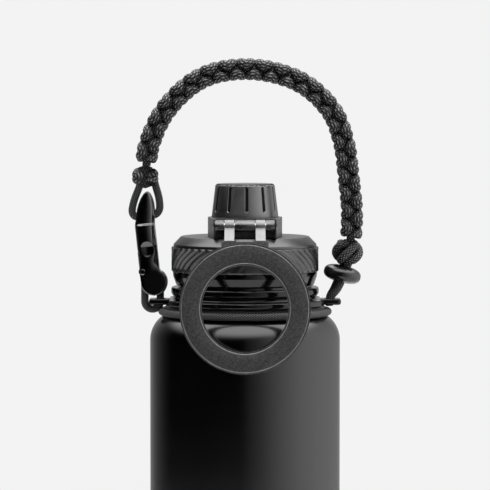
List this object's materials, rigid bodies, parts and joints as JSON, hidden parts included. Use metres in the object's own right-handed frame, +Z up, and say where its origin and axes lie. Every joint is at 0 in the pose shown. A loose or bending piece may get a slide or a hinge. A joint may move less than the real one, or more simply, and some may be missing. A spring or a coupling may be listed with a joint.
{
  "type": "insulated water bottle",
  "caption": "Vacuum-insulated steel bottle with wide-mouth screw lid, spout cap, folding magnetic phone ring and braided cord handle clipped to a neck collar.",
  "frame": {"origin": "centre of the flat foot that the bottle stands on", "axes": "+Z up along the bottle's axis, -Y towards the phone ring, -X towards the clip"},
  "size_m": [0.1125, 0.0955, 0.3209],
  "materials": {
    "powder_coat": "fine-grained matt powder coat",
    "bare_steel": "electropolished stainless steel",
    "base_plastic": "matt moulded",
    "getter_alloy": "sintered grey",
    "seal_glass": "solder glass",
    "silicone": "food-grade silicone, satin",
    "plug_plastic": "satin moulded",
    "foam": "closed-cell foam",
    "lid_plastic": "fine matt texture",
    "cap_plastic": "satin, fine texture",
    "hinge_metal": "satin black with bare edges",
    "pin_steel": "polished",
    "ring_metal": "satin grey with bright chamfers",
    "pad_rubber": "mottled dark grey",
    "magnet_nickel": "nickel plated",
    "collar_rubber": "satin moulded rubber",
    "cord": "woven nylon sheath",
    "clip_plastic": "glossy moulded",
    "spring_steel": "drawn wire",
    "button_plastic": "semi-gloss moulded"
  },
  "bodies": {
    "bottle": {"outer_shell": "powder_coat", "inner_vessel": "bare_steel", "base_plate": "base_plastic", "getter": "getter_alloy", "vacuum_seal": "seal_glass"},
    "lid_seal": {"lid_gasket": "silicone"},
    "ring_collar": {"hinge_collar": "hinge_metal", "hinge_pin": "pin_steel"},
    "lid": {"lid_core": "plug_plastic", "lid_insulation": "foam", "lid_grip_band": "lid_plastic", "lid_skirt_ring": "lid_plastic", "lid_top_cover": "lid_plastic", "spout": "plug_plastic"},
    "phone_ring": {"phone_ring_frame": "ring_metal", "ring_face_pad": "pad_rubber", "ring_magnets": "magnet_nickel"},
    "cap_seal": {"spout_gasket": "silicone"},
    "spout_cap": {"spout_cap_shell": "cap_plastic", "spout_cap_liner": "plug_plastic"},
    "neck_collar": {"neck_collar": "collar_rubber", "neck_cord": "cord"},
    "handle": {"handle_braid": "cord", "left_knot": "cord", "clip_loop": "cord", "clip_body": "clip_plastic", "gate_pin": "pin_steel", "gate_spring": "spring_steel", "ear_loop": "cord", "right_knot": "cord", "stem_cords": "cord"},
    "clip_gate": {"clip_gate": "clip_plastic"},
    "cord_button": {"cord_button": "button_plastic"}
  },
  "joints": [
    {"name": "lid_lift_off", "type": "slide", "parent": "bottle", "child": "lid_seal", "axis": [0, 0, 1], "range_m": [0, 0.04]},
    {"name": "lid_rise", "type": "slide", "parent": "lid_seal", "child": "ring_collar", "axis": [0, 0, 1], "range_m": [0, 0.007]},
    {"name": "lid_turn", "type": "hinge", "parent": "ring_collar", "child": "lid", "pos_m": [0, 0, 0.23], "axis": [0, 0, 1], "range_deg": [0, 540]},
    {"name": "ring_fold", "type": "hinge", "parent": "ring_collar", "child": "phone_ring", "pos_m": [0, -0.027, 0.2417], "axis": [-1, 0, 0], "range_deg": [0, 145]},
    {"name": "cap_rise", "type": "slide", "parent": "lid", "child": "cap_seal", "axis": [0, 0, 1], "range_m": [0, 0.0031]},
    {"name": "cap_turn", "type": "hinge", "parent": "cap_seal", "child": "spout_cap", "pos_m": [0, 0, 0.25], "axis": [0, 0, 1], "range_deg": [0, 360]},
    {"name": "neck_turn", "type": "hinge", "parent": "bottle", "child": "neck_collar", "pos_m": [0, 0, 0.205], "axis": [0, 0, 1], "range_deg": [-28, 28]},
    {"name": "handle_swing", "type": "hinge", "parent": "neck_collar", "child": "handle", "pos_m": [0, 0, 0.20435], "axis": [-1, 0, 0], "range_deg": [-40, 40], "deforming": ["ear_loop", "stem_cords"]},
    {"name": "gate_open", "type": "hinge", "parent": "handle", "child": "clip_gate", "pos_m": [-0.04896, 0, 0.2187], "axis": [0, 1, 0], "range_deg": [0, 18], "stiffness_Nm_per_rad": 0.02, "springref_deg": -17.19, "deforming": ["gate_spring"]},
    {"name": "button_slide", "type": "slide", "parent": "handle", "child": "cord_button", "axis": [-0.3696, 0, -0.9292], "range_m": [0, 0.003]}
  ],
  "couplings": [
    {"joint": "lid_rise", "follows": "lid_turn", "m_per_rad": 0.0007162},
    {"joint": "cap_rise", "follows": "cap_turn", "m_per_rad": 0.00047746}
  ]
}
